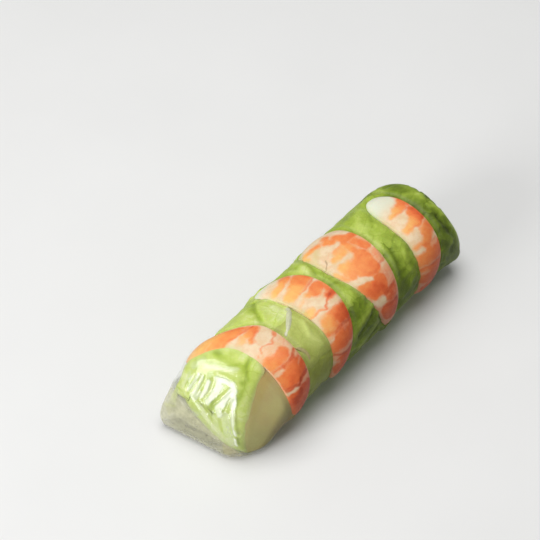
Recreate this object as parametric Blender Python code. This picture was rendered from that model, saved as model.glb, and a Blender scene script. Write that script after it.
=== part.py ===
"""A rice paper roll: lettuce, four halved prawns, a sprout and a noodle in clear rice paper.

Metres, with +Z up. The roll lies along Y and its pinched, folded end points to -Y.
The origin is under the middle of the roll, on the surface that it rests on.

The outside is one solid form, roll(), which is at most 0 inside the roll. The wrapper
is that form less its cavity, and everything inside is kept a small gap clear of it.
"""
import math

import bmesh
import bpy
from mathutils import Vector

MM = 0.001

# The roll as a whole
HALF_WIDTH = 19.4 * MM
HALF_HEIGHT = 17.6 * MM
AXIS_HEIGHT = 16.9 * MM         # less than HALF_HEIGHT, so that it rests on a flat strip
ROUND_POWER = 2.15              # power of the section's superellipse: 2 is an ellipse
SAG_POWER = 6                   # the same for the lower half at the folded end, pressed flat
SAG_FROM = -32 * MM             # where the section starts to flatten, and where it is flat
SAG_TO = -52 * MM

# The far end, blunt and slightly domed
FAR_Y = 63.9 * MM               # at the +X side, before its edge is rounded
FAR_DOME = 2.5 * MM
FAR_SLANT = 0.13                # the end reaches further on the +X side
FAR_ROUND = 9 * MM

# The folded end: two faces that meet in a ridge running down and forwards
RIDGE_TOP = Vector((1, -38.6, 35.5)) * MM
FACE_TURNS = (math.radians(10), math.radians(52))   # each face's outward turn from -Y to +X
FACE_RUN = 21 * MM              # how far each face runs out by the time it meets the ground
FACE_POWER = 1.6                # 1 is a flat slope, 2 a quarter ellipse
RIDGE_ROUND = 2 * MM
HEM_ROUND = 3.5 * MM            # where the folded end meets the ground

# The wrapper, and the room that every piece keeps from the next
WALL = 0.7 * MM                 # two layers of wet rice paper
END_FOLD = 1.4 * MM             # more layers where the far end is folded shut
GAP = 0.4 * MM
FOLD_EDGE = Vector((11.5, -55.1, 1.5)) * MM         # on the edge of the filling at the fold
FOLD_NORMAL = Vector((-0.35, -0.52, -0.78)).normalized()
SLIT_TURN = math.radians(-125)  # where the wrapper's loose edge laps over, from the top
SLIT_LEAN = math.radians(35)
SLIT_SIZE = Vector((4.2, 84, 0.4)) * MM
SLIT_Y = 2 * MM

# Prawns: middle, width, and the turns from the top between which each lies over the roll.
# bow pulls both ends towards -Y; lean slides the right end towards +Y.
PRAWNS = {
    "prawn_1": dict(y=-32.9, half=6.6, bow=-4.5, lean=2.6, start=-78, end=108, tail=0.70),
    "prawn_2": dict(y=-7.5, half=7.6, bow=-6.8, lean=-0.8, start=-66, end=112, tail=0.50),
    "prawn_3": dict(y=14.3, half=10.2, bow=0.6, lean=0.4, start=-76, end=112, tail=0.36),
    "prawn_4": dict(y=40.3, half=6.6, bow=-1.6, lean=-2.2, start=-40, end=128, tail=0.80),
}
PRAWN_RISE = 1.3 * MM           # how far a prawn lifts the wrapper
PRAWN_SHOULDER = 1.0 * MM       # from a prawn's widest level up to the filling's surface
PRAWN_SINK = 2.8 * MM           # from its widest level down to its cut face
PRAWN_BLUNTNESS = 5             # power of a prawn's outline at its ends: 2 is round
PRAWN_BACK = 0.9                # power of its section above the widest level
PRAWN_CUT = 0.5                 # the same below it: near 0 is a flat cut with square edges
TAPER_FROM = 0.35               # share of its length before it narrows to the tail
BULGE_SPREAD = 1.28             # the lifted wrapper is wider than the prawn under it
BULGE_POWER = 1.5               # how softly the lifted wrapper comes down beside a prawn
BULGE_RAMP = math.radians(16)   # and past its ends,
BULGE_SHARE = (0.08, 0.92)      # whose width counts only within these shares of its length

# Strands that show through the wrapper: ends as (turn from the top, y), and radii
STRANDS = {
    "bean_sprout": dict(ends=((-7, -16.1), (18, -24.5)), wide=1.3, deep=0.9),
    "rice_noodle": dict(ends=((35, -26.5), (56, -24.9)), wide=0.65, deep=0.65),
}
STRAND_BOW = 1.2 * MM
STRAND_BLUNTNESS = 4
BED_OPENING = 4 * MM            # a bed reaches this far out, so that its mouth is cut clean
BED_STEEPNESS = 0.5             # power of a bed's wall above its widest level: 0 is upright

# How finely each form is divided: around, then along
SKIN_GRID = (30, 36)
INSIDE_GRID = (26, 36)          # for the cavity and the filling alike, so that they run parallel
PRAWN_GRID = (12, 16)
STRAND_GRID = (8, 8)
NEAR_HUB = Vector((-1, -44, 9)) * MM
FAR_HUB = Vector((0, 50, 16.9)) * MM
NEAR_SHARE = 0.25               # share of the rings spent on each rounded end
FAR_SHARE = 0.16
REACH = 80 * MM
HALVINGS = 24


def mix(a, b, t):
    return a + (b - a) * t


def ramp(value, low, high):
    """A smooth step from 0 at low to 1 at high."""
    t = min(max((value - low) / (high - low), 0.0), 1.0)
    return t * t * (3 - 2 * t)


def round_max(a, b, radius):
    """The larger of two distances, with the edge between them rounded."""
    overlap = max(radius - abs(a - b), 0.0)
    return max(a, b) + overlap * overlap / (4 * radius)


def blunt_ends(s, power):
    """The share of its full width that a long piece has at s, with its ends rounded off."""
    return (1 - abs(2 * s - 1) ** power) ** 0.5


def prawn_half_width(prawn, s):
    """Half the width at s, from 0 at the head to 1 at the tail."""
    taper = mix(1.0, prawn["tail"], ramp(s, TAPER_FROM, 1.0))
    return prawn["half"] * MM * taper * blunt_ends(s, PRAWN_BLUNTNESS)


def prawn_middle(prawn, turn):
    """The y of a prawn's middle line where it lies at this turn from the top."""
    start, end = math.radians(prawn["start"]), math.radians(prawn["end"])
    t = (2 * turn - start - end) / (end - start)
    return (prawn["y"] + prawn["bow"] * t * t + prawn["lean"] * t) * MM


def prawn_bulge(prawn, turn, y):
    """How far this prawn lifts the wrapper at a turn and a y."""
    start, end = math.radians(prawn["start"]), math.radians(prawn["end"])
    s = min(max((turn - start) / (end - start), BULGE_SHARE[0]), BULGE_SHARE[1])
    across = (y - prawn_middle(prawn, turn)) / (prawn_half_width(prawn, s) * BULGE_SPREAD)
    if abs(across) >= 1:
        return 0.0
    ends = ramp(turn, start - BULGE_RAMP, start) * ramp(turn, end + BULGE_RAMP, end)
    return PRAWN_RISE * (1 - across * across) ** BULGE_POWER * ends


def section_radius(turn, y):
    """Distance from the roll's axis to its plain section, turn measured from the top."""
    across, up = math.sin(turn), math.cos(turn)
    power = ROUND_POWER
    if up < 0:
        power = mix(ROUND_POWER, SAG_POWER, ramp(-y, -SAG_FROM, -SAG_TO))
    sides = (abs(across) / HALF_WIDTH) ** power
    return (sides + (abs(up) / HALF_HEIGHT) ** power) ** (-1 / power)


def folded_face(point, turn):
    """Distance outside one face of the folded end, which turns down as it runs out."""
    offset = point - RIDGE_TOP
    run = max(offset.x * math.sin(turn) - offset.y * math.cos(turn), 0.0) / FACE_RUN
    rise = max(point.z, 0.0) / RIDGE_TOP.z
    return ((run ** FACE_POWER + rise ** FACE_POWER) ** (1 / FACE_POWER) - 1) * FACE_RUN


def roll(point):
    """Roughly the distance outside the roll's outer form, negative inside it."""
    turn = math.atan2(point.x, point.z - AXIS_HEIGHT)
    from_axis = math.hypot(point.x, point.z - AXIS_HEIGHT)
    lift = max(prawn_bulge(prawn, turn, point.y) for prawn in PRAWNS.values())
    side = from_axis - section_radius(turn, point.y) - lift
    dome = FAR_DOME * (from_axis / HALF_WIDTH) ** 2
    far = point.y - FAR_Y - FAR_SLANT * (point.x - HALF_WIDTH) + dome
    fold = round_max(folded_face(point, FACE_TURNS[0]), folded_face(point, FACE_TURNS[1]),
                     RIDGE_ROUND)
    body = round_max(round_max(side, far, FAR_ROUND), fold, RIDGE_ROUND)
    return max(body, round_max(fold, -point.z, HEM_ROUND))


def cavity(point):
    """The same for the space inside the wrapper."""
    at_fold = (point - FOLD_EDGE).dot(FOLD_NORMAL)
    return max(roll(point) + WALL, point.y - FAR_Y + END_FOLD, at_fold)


def filling(point):
    return cavity(point) + GAP


def surface_along(form, start, direction, reach):
    """The last point of a form on a ray that starts inside it."""
    inside, outside = 0.0, reach
    for _ in range(HALVINGS):
        middle = (inside + outside) / 2
        if form(start + direction * middle) <= 0:
            inside = middle
        else:
            outside = middle
    return start + direction * inside


def settled(point):
    """The point itself, or where the ray to it from the axis leaves the filling."""
    if filling(point) <= 0:
        return point
    axis_point = Vector((0, max(point.y, NEAR_HUB.y), (NEAR_HUB.z + AXIS_HEIGHT) / 2))
    ray = point - axis_point
    return surface_along(filling, axis_point, ray.normalized(), ray.length)


def at_turn(turn, from_axis, y):
    """The point at a turn from the top, a distance from the roll's axis and a y."""
    return Vector((math.sin(turn) * from_axis, y, AXIS_HEIGHT + math.cos(turn) * from_axis))


def sphere_grid(around, along):
    """A unit sphere whose poles lie on Z, as rings that the shapes below stretch."""
    mesh = bmesh.new()
    bmesh.ops.create_uvsphere(mesh, u_segments=around, v_segments=along, radius=1)
    return mesh


def place_on_sphere(vert):
    """A vertex's share of the way from pole to pole, and its turn about the poles."""
    co = vert.co
    share = math.atan2(math.hypot(co.x, co.y), co.z) / math.pi
    return share, math.atan2(co.y, co.x)


def capsule_ray(share, turn):
    """Start and direction of the ray for one vertex of a long form with rounded ends."""
    if share < NEAR_SHARE:
        tilt = share / NEAR_SHARE * math.pi / 2
        start = NEAR_HUB
    elif share > 1 - FAR_SHARE:
        tilt = math.pi - (1 - share) / FAR_SHARE * math.pi / 2
        start = FAR_HUB
    else:
        tilt = math.pi / 2
        start = NEAR_HUB.lerp(FAR_HUB, (share - NEAR_SHARE) / (1 - NEAR_SHARE - FAR_SHARE))
    side = Vector((math.sin(turn), 0, math.cos(turn)))
    return start, side * math.sin(tilt) + Vector((0, -math.cos(tilt), 0))


def form_mesh(form, grid):
    """A closed mesh on the surface of a form."""
    mesh = sphere_grid(*grid)
    for vert in mesh.verts:
        vert.co = surface_along(form, *capsule_ray(*place_on_sphere(vert)), REACH)
    bmesh.ops.triangulate(mesh, faces=mesh.faces, quad_method="FIXED")
    return mesh


def prawn_mesh(prawn, grow=0.0):
    """Half a prawn lying over the roll, its cut face down, grown all round by grow."""
    start, end = math.radians(prawn["start"]), math.radians(prawn["end"])
    more_turn = grow / HALF_HEIGHT
    mesh = sphere_grid(*PRAWN_GRID)
    for vert in mesh.verts:
        share, phi = place_on_sphere(vert)
        s = (1 - math.cos(math.pi * share)) / 2
        turn = mix(start - more_turn, end + more_turn, s)
        body = blunt_ends(s, PRAWN_BLUNTNESS)
        half = prawn_half_width(prawn, s) + grow * body
        y = prawn_middle(prawn, turn) + half * math.cos(phi)
        up = math.sin(phi)
        if up <= 0:
            height = -(PRAWN_SINK + grow) * (-up) ** PRAWN_CUT
        elif grow:
            height = BED_OPENING * up ** BED_STEEPNESS
        else:
            height = (PRAWN_SHOULDER + PRAWN_RISE) * up ** PRAWN_BACK
        level = section_radius(turn, y) - WALL - 2 * GAP - PRAWN_SHOULDER
        vert.co = at_turn(turn, level + height * body, y)
        if not grow:
            vert.co = settled(vert.co)
    return mesh


def strand_mesh(strand, grow=0.0):
    """A short round strand, bowed a little, lying flush in the filling."""
    (turn_a, y_a), (turn_b, y_b) = strand["ends"]
    wide, deep = strand["wide"] * MM, strand["deep"] * MM
    along = Vector((math.radians(turn_b - turn_a) * HALF_HEIGHT, (y_b - y_a) * MM)).normalized()
    mesh = sphere_grid(*STRAND_GRID)
    for vert in mesh.verts:
        share, phi = place_on_sphere(vert)
        s = (1 - math.cos(math.pi * share)) / 2
        body = blunt_ends(s, STRAND_BLUNTNESS)
        past_end = grow * (2 * s - 1)
        across = (wide + grow) * body * math.cos(phi)
        turn = math.radians(mix(turn_a, turn_b, s))
        turn += (along.x * past_end - along.y * across) / HALF_HEIGHT
        y = mix(y_a, y_b, s) * MM + STRAND_BOW * (1 - (2 * s - 1) ** 2)
        y += along.y * past_end + along.x * across
        up = math.sin(phi)
        if up > 0 and grow:
            height = BED_OPENING * up ** BED_STEEPNESS
        else:
            height = (deep + grow) * up
        level = section_radius(turn, y) - WALL - 3 * GAP - deep
        vert.co = at_turn(turn, level + height * body, y)
        if not grow:
            vert.co = settled(vert.co)
    return mesh


def slit_mesh():
    """A thin slanting plate where the wrapper's last layer lies over the one below."""
    mesh = bmesh.new()
    bmesh.ops.create_cube(mesh, size=1)
    radius = section_radius(SLIT_TURN, 0) - WALL / 2
    for vert in mesh.verts:
        flat = Vector(vert.co) * SLIT_SIZE
        across = flat.x * math.cos(SLIT_LEAN) - flat.z * math.sin(SLIT_LEAN)
        out = radius + flat.x * math.sin(SLIT_LEAN) + flat.z * math.cos(SLIT_LEAN)
        sideways = Vector((math.cos(SLIT_TURN), 0, -math.sin(SLIT_TURN)))
        vert.co = at_turn(SLIT_TURN, out, SLIT_Y + flat.y) + sideways * across
    return mesh


def new_object(name, mesh):
    if mesh.calc_volume(signed=True) < 0:
        bmesh.ops.reverse_faces(mesh, faces=mesh.faces)
    data = bpy.data.meshes.new(name)
    mesh.to_mesh(data)
    mesh.free()
    data.shade_smooth()
    obj = bpy.data.objects.new(name, data)
    bpy.context.collection.objects.link(obj)
    return obj


def cutter(name, mesh):
    obj = new_object(name, mesh)
    obj.hide_render = True
    obj.display_type = "WIRE"
    return obj


def cut_away(obj, tool):
    modifier = obj.modifiers.new(tool.name, "BOOLEAN")
    modifier.operation = "DIFFERENCE"
    modifier.solver = "EXACT"
    modifier.object = tool


def finish(obj, name, color, roughness, alpha=1.0):
    material = bpy.data.materials.new(name)
    material.use_nodes = True
    shader = material.node_tree.nodes["Principled BSDF"]
    shader.inputs["Base Color"].default_value = (*color, 1)
    shader.inputs["Roughness"].default_value = roughness
    shader.inputs["Metallic"].default_value = 0
    shader.inputs["Alpha"].default_value = alpha
    obj.data.materials.append(material)


def make_wrapper():
    paper = new_object("rice_paper", form_mesh(roll, SKIN_GRID))
    cut_away(paper, cutter("cavity", form_mesh(cavity, INSIDE_GRID)))
    cut_away(paper, cutter("lap_slit", slit_mesh()))
    finish(paper, "wet rice paper", (0.82, 0.84, 0.76), 0.25, alpha=0.35)


def make_filling():
    """The lettuce, with a bed cut into it for each piece that lies on it."""
    lettuce = new_object("lettuce", form_mesh(filling, INSIDE_GRID))
    for name, prawn in PRAWNS.items():
        cut_away(lettuce, cutter(name + "_bed", prawn_mesh(prawn, GAP)))
    for name, strand in STRANDS.items():
        cut_away(lettuce, cutter(name + "_bed", strand_mesh(strand, GAP)))
    finish(lettuce, "lettuce", (0.36, 0.52, 0.12), 0.5)


def make_toppings():
    for name, prawn in PRAWNS.items():
        finish(new_object(name, prawn_mesh(prawn)), name, (0.90, 0.42, 0.22), 0.4)
    for name, strand in STRANDS.items():
        finish(new_object(name, strand_mesh(strand)), name, (0.80, 0.82, 0.68), 0.4)


def main():
    for obj in list(bpy.data.objects):
        bpy.data.objects.remove(obj)
    make_wrapper()
    make_filling()
    make_toppings()


main()
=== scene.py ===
"""The looks of a rice paper roll: clear film over lettuce leaves, halved prawns and strands.

Metres, +Z up. The roll lies along Y, and its pinched, folded end points to -Y. Sizes in
millimetres carry MM. Most pieces are placed by a turn and a y: the turn is the angle from
the top of the roll towards +X, and y runs along it.
"""
import math

import bmesh
import bpy
import numpy as np
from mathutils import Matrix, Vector, noise


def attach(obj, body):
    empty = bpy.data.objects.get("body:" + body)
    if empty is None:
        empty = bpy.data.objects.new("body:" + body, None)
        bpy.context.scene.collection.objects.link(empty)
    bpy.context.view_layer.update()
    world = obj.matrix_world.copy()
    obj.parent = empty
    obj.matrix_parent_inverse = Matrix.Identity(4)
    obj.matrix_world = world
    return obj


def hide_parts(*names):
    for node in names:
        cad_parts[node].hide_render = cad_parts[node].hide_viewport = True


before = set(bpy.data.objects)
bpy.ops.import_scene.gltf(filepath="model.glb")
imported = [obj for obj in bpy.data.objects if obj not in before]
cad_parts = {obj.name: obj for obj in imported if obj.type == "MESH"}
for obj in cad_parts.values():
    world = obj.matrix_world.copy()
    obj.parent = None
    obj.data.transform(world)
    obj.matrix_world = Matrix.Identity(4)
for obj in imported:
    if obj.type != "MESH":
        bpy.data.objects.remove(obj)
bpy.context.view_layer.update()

MM = 0.001

# ---------------------------------------------------------------- the roll's own form
HALF_WIDTH = 19.4 * MM
HALF_HEIGHT = 17.6 * MM
AXIS_HEIGHT = 16.9 * MM
ROUND_POWER = 2.15              # power of the section's superellipse
SAG_POWER = 6                   # the same for the lower half at the folded end
SAG_FROM, SAG_TO = -32 * MM, -52 * MM
FAR_Y = 63.9 * MM
FAR_DOME = 2.5 * MM
FAR_SLANT = 0.13
FAR_ROUND = 9 * MM
RIDGE_TOP = np.array((1, -38.6, 35.5)) * MM
FACE_TURNS = (math.radians(10), math.radians(52))
FACE_RUN = 21 * MM
FACE_POWER = 1.6
RIDGE_ROUND = 2 * MM
HEM_ROUND = 3.5 * MM
FOLD_EDGE = np.array((11.5, -55.1, 1.5)) * MM       # on the edge of the filling at the fold
FOLD_NORMAL = np.array((-0.35, -0.52, -0.78)) / np.linalg.norm((-0.35, -0.52, -0.78))

# y, half the width, bow and lean in mm; start and end are turns in degrees
PRAWNS = {
    "prawn_1": dict(y=-32.9, half=6.6, bow=-4.5, lean=2.6, start=-78, end=108, tail=0.82,
                    hook=-6.6, pale=(0.02, 0)),
    "prawn_2": dict(y=-7.5, half=7.6, bow=-6.8, lean=-0.8, start=-66, end=112, tail=0.62,
                    hook=0, pale=(0.16, 0.05)),
    "prawn_3": dict(y=14.3, half=10.2, bow=0.6, lean=0.4, start=-76, end=112, tail=0.48,
                    hook=0, pale=(0.12, 0.04)),
    "prawn_4": dict(y=40.3, half=6.6, bow=-1.6, lean=-2.2, start=-40, end=128, tail=0.92,
                    hook=0, pale=(0.26, 0.12)),
}
PRAWN_RISE = 1.3 * MM
PRAWN_BLUNTNESS = 5
TAPER_FROM = 0.35
BULGE_SPREAD = 1.28
BULGE_POWER = 1.5
BULGE_RAMP = math.radians(16)
BULGE_SHARE = (0.08, 0.92)

# dents in the roll: x, y, z, how wide and how deep, in mm; a negative depth is a bump
DENTS = (
    (-19.5, -55, 21, 8, 1.8),
    (-19.3, -60, 14, 5, 0.7),
    (-4, -61, 2, 7, -1.9),
    (12, -56.5, 1, 5, 1.4),
    (17.5, -50, 3, 8, 1.6),
    (19, -41, 6, 7, 1.6),
    (17.5, -19.5, 7, 6, 0.8),
    (19.5, -13, 8, 5, 0.8),
    (19.5, 37, 8, 5, 0.6),
    (12, 61.5, 26, 8, 2.2),
    (4, 61, 29, 6, 1.0),
    (18.5, 58, 8, 6, -1.8),
)
NEAR_HUB = np.array((-1, -44, 9)) * MM
FAR_HUB = np.array((0, 50, 16.9)) * MM
NEAR_SHARE, FAR_SHARE = 0.25, 0.16
FAR_BEND, FAR_REACH = 50, 16    # y in mm where rays start to bend round the far end, and how soon
REACH = 80 * MM
HALVINGS = 22

# ---------------------------------------------------------------- how deep things lie
FILM = 0.3 * MM                 # thickness of the film
LEAF = 0.28 * MM
LEAF_DEPTH = 0.62 * MM          # of a leaf's outer face below the film's outer face
OVER_DEPTH = 0.36 * MM          # of a leaf tip that lies over a prawn
PRAWN_DEPTH = 0.55 * MM         # of a prawn's back
PRAWN_EDGE_DEPTH = 1.9 * MM     # of its widest level
PRAWN_SINK = 2.6 * MM           # from there down to its cut face
BED_DEPTH = 4.0 * MM            # how much deeper a leaf passes under a prawn
VALLEY = 0.55 * MM              # and how much deeper it lies beside one
CORE_DEPTH = 5.2 * MM


def mix(a, b, t):
    return a + (b - a) * t


def ramp(value, low, high):
    """A smooth step from 0 at low to 1 at high."""
    t = np.clip((value - low) / (high - low), 0, 1)
    return t * t * (3 - 2 * t)


def round_max(a, b, radius):
    """The larger of two distances, with the edge between them rounded."""
    overlap = np.maximum(radius - np.abs(a - b), 0)
    return np.maximum(a, b) + overlap * overlap / (4 * radius)


def unit(vectors):
    return vectors / np.linalg.norm(vectors, axis=-1, keepdims=True)


def waves(points, size, seed=0):
    """Smooth noise from about -1 to 1 whose bumps are size across."""
    shift = Vector((17.3, 5.1, 9.7)) * seed
    return np.array([noise.noise(Vector(p) + shift) for p in np.asarray(points) / size])


def blunt_ends(s, power):
    return np.sqrt(np.maximum(1 - np.abs(2 * s - 1) ** power, 0))


def prawn_half_width(prawn, s):
    taper = mix(1.0, prawn["tail"], ramp(s, TAPER_FROM, 1.0))
    return prawn["half"] * MM * taper * blunt_ends(s, PRAWN_BLUNTNESS)


def prawn_turns(prawn):
    return math.radians(prawn["start"]), math.radians(prawn["end"])


def prawn_middle(prawn, turn):
    start, end = prawn_turns(prawn)
    t = (2 * turn - start - end) / (end - start)
    hook = prawn["hook"] * ramp(-turn, 0.1, 1.0)
    return (prawn["y"] + prawn["bow"] * t * t + prawn["lean"] * t + hook) * MM


def prawn_bulge(prawn, turn, y):
    """How far this prawn lifts the film."""
    start, end = prawn_turns(prawn)
    s = np.clip((turn - start) / (end - start), *BULGE_SHARE)
    across = (y - prawn_middle(prawn, turn)) / (prawn_half_width(prawn, s) * BULGE_SPREAD)
    ends = ramp(turn, start - BULGE_RAMP, start) * ramp(turn, end + BULGE_RAMP, end)
    return PRAWN_RISE * np.maximum(1 - across * across, 0) ** BULGE_POWER * ends


def section_radius(turn, y):
    """Distance from the roll's axis to its plain section."""
    across, up = np.sin(turn), np.cos(turn)
    sagged = mix(ROUND_POWER, SAG_POWER, ramp(-y, -SAG_FROM, -SAG_TO))
    power = np.where(up < 0, sagged, ROUND_POWER)
    sides = (np.abs(across) / HALF_WIDTH) ** power
    return (sides + (np.abs(up) / HALF_HEIGHT) ** power) ** (-1 / power)


def folded_face(points, turn):
    offset = points - RIDGE_TOP
    run = np.maximum(offset[:, 0] * math.sin(turn) - offset[:, 1] * math.cos(turn), 0) / FACE_RUN
    rise = np.maximum(points[:, 2], 0) / RIDGE_TOP[2]
    return ((run ** FACE_POWER + rise ** FACE_POWER) ** (1 / FACE_POWER) - 1) * FACE_RUN


def dents(points):
    total = 0
    for x, y, z, wide, deep in DENTS:
        away = points / MM - (x, y, z)
        total = total + deep * MM * np.exp(-np.sum(away * away, axis=1) / (wide * wide))
    return total


def turn_and_y(points):
    return np.arctan2(points[:, 0], points[:, 2] - AXIS_HEIGHT), points[:, 1]


def roll(points):
    """Roughly the distance outside the roll's outer form, negative inside it."""
    turn, y = turn_and_y(points)
    from_axis = np.hypot(points[:, 0], points[:, 2] - AXIS_HEIGHT)
    lift = np.max([prawn_bulge(prawn, turn, y) for prawn in PRAWNS.values()], axis=0)
    side = from_axis - section_radius(turn, y) - lift
    dome = FAR_DOME * (from_axis / HALF_WIDTH) ** 2
    far = y - FAR_Y - FAR_SLANT * (points[:, 0] - HALF_WIDTH) + dome
    fold = round_max(folded_face(points, FACE_TURNS[0]), folded_face(points, FACE_TURNS[1]),
                     RIDGE_ROUND)
    body = round_max(round_max(side, far, FAR_ROUND), fold, RIDGE_ROUND) + dents(points)
    return np.maximum(body, round_max(fold, -points[:, 2], HEM_ROUND))


def past_fold(points):
    """Distance past the plane where the filling ends and the film lies folded on itself."""
    return (points - FOLD_EDGE) @ FOLD_NORMAL


def outward(points):
    """The direction straight out of the roll's form."""
    step = 0.05 * MM
    slopes = [roll(points + offset) - roll(points - offset) for offset in np.eye(3) * step]
    return unit(np.stack(slopes, 1))


def surface_along(form, start, direction):
    """Where rays leave a form, going out from the deepest of a few places on each."""
    tries = np.linspace(0, REACH / 2, 9)
    inside = tries[np.argmin([form(start + direction * reach) for reach in tries], axis=0)]
    outside = np.full(len(start), REACH)
    for _ in range(HALVINGS):
        middle = (inside + outside) / 2
        within = form(start + direction * middle[:, None]) <= 0
        inside = np.where(within, middle, inside)
        outside = np.where(within, outside, middle)
    return start + direction * inside[:, None]


def kept_in(points, depth):
    """Points moved in where they are not a depth under the film's outer face."""
    for _ in range(3):
        points = points - outward(points) * np.maximum(roll(points) + depth, 0)[:, None]
    return np.stack([points[:, 0], points[:, 1], np.maximum(points[:, 2], depth)], 1)


# ---------------------------------------------------------------- rays that lay out a surface
def capsule_rays(share, turn):
    """One ray for each place on a long form with rounded ends, share from -Y to +Y."""
    near = share / NEAR_SHARE * math.pi / 2
    far = math.pi - (1 - share) / FAR_SHARE * math.pi / 2
    tilt = np.where(share < NEAR_SHARE, near, np.where(share > 1 - FAR_SHARE, far, math.pi / 2))
    along = np.clip((share - NEAR_SHARE) / (1 - NEAR_SHARE - FAR_SHARE), 0, 1)[:, None]
    side = np.stack([np.sin(turn), 0 * turn, np.cos(turn)], 1)
    ahead = np.array((0, -1, 0))
    return mix(NEAR_HUB, FAR_HUB, along), side * np.sin(tilt)[:, None] + ahead * np.cos(tilt)[:, None]


def wrap_rays(turn, y):
    """Rays straight out from the axis, for a turn in degrees and a y in mm, that go on round
    the far end."""
    turn = np.radians(turn)
    tilt = np.maximum(y - FAR_BEND, 0) / FAR_REACH
    start = np.stack([0 * turn, np.minimum(y, FAR_BEND) * MM, 0 * turn + AXIS_HEIGHT], 1)
    side = np.cos(tilt)
    return start, np.stack([np.sin(turn) * side, np.sin(tilt), np.cos(turn) * side], 1)


class Face:
    """A chart of one face: a runs right and b up along the face, in mm."""

    def __init__(self, hub, ahead, right):
        self.hub = np.array(hub) * MM
        self.ahead, self.right = unit(np.array(ahead, float)), unit(np.array(right, float))
        self.up = np.cross(self.ahead, self.right)

    def rays(self, a, b):
        """Parallel rays out of the face."""
        start = self.hub + a[:, None] * MM * self.right + b[:, None] * MM * self.up
        return start, np.broadcast_to(self.ahead, start.shape)

    def places(self, points):
        return (points - self.hub) @ self.right / MM, (points - self.hub) @ self.up / MM


FOLDED_FACE = Face((-1, -36, 12), (0.05, -0.75, 0.66), (1, 0.067, 0))
SIDE_FACE = Face((0, -38, 12), (0.74, -0.52, 0.43), (0.57, 0.82, 0))
LIP_FACE = Face((-3, -42, 9), (-0.2, -0.93, 0.3), (0.977, -0.21, 0))


# ---------------------------------------------------------------- making pieces
def ball(around, along):
    """A unit sphere whose poles lie on Z."""
    mesh = bmesh.new()
    bmesh.ops.create_uvsphere(mesh, u_segments=around, v_segments=along, radius=1)
    return mesh


def sheet(across, along):
    """A flat grid from -1 to 1."""
    mesh = bmesh.new()
    bmesh.ops.create_grid(mesh, x_segments=across, y_segments=along, size=1)
    return mesh


def coordinates(mesh):
    return np.array([vert.co for vert in mesh.verts])


def place(mesh, points):
    for vert, point in zip(mesh.verts, points):
        vert.co = point


def share_and_turn(mesh):
    """Each vertex's share of the way from pole to pole, and its turn about the poles."""
    x, y, z = coordinates(mesh).T
    return np.arctan2(np.hypot(x, y), z) / math.pi, np.arctan2(y, x)


def note(mesh, **values):
    """Leaves values at each vertex, for the material to read."""
    for key, numbers in values.items():
        layer = mesh.verts.layers.float.new(key)
        for vert, number in zip(mesh.verts, numbers):
            vert[layer] = number


def piece(name, mesh, finish, slot, stands_for=(), thickness=0.0, **values):
    """A finished piece from a mesh, with its values at each vertex for the material."""
    note(mesh, **values)
    if not thickness and mesh.calc_volume(signed=True) < 0:
        bmesh.ops.reverse_faces(mesh, faces=mesh.faces)
    data = bpy.data.meshes.new(name)
    mesh.to_mesh(data)
    mesh.free()
    data.shade_smooth()
    data.materials.append(finish)
    obj = bpy.data.objects.new(name, data)
    bpy.context.collection.objects.link(obj)
    if thickness:
        solid = obj.modifiers.new("thickness", "SOLIDIFY")
        solid.thickness = thickness
        solid.offset = -1
    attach(obj, "root")
    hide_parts(*stands_for)
    return obj


# ---------------------------------------------------------------- materials
class Wire:
    """A socket in a material, with arithmetic that adds Math nodes."""

    def __init__(self, finish, socket):
        self.finish, self.socket = finish, socket

    def math(self, operation, *values):
        return self.finish.node("Math", dict(operation=operation), *values)

    def __add__(self, other):
        return self.math("ADD", self, other)

    def __sub__(self, other):
        return self.math("SUBTRACT", self, other)

    def __mul__(self, other):
        return self.math("MULTIPLY", self, other)

    def __rsub__(self, other):
        return self.math("SUBTRACT", other, self)

    __radd__, __rmul__ = __add__, __mul__

    def step(self, low, high):
        """A smooth step from 0 at low to 1 at high; low may be the larger."""
        limits = {"From Min": low, "From Max": high}
        return self.finish.node("MapRange", dict(interpolation_type="SMOOTHSTEP"), self, **limits)


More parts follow.
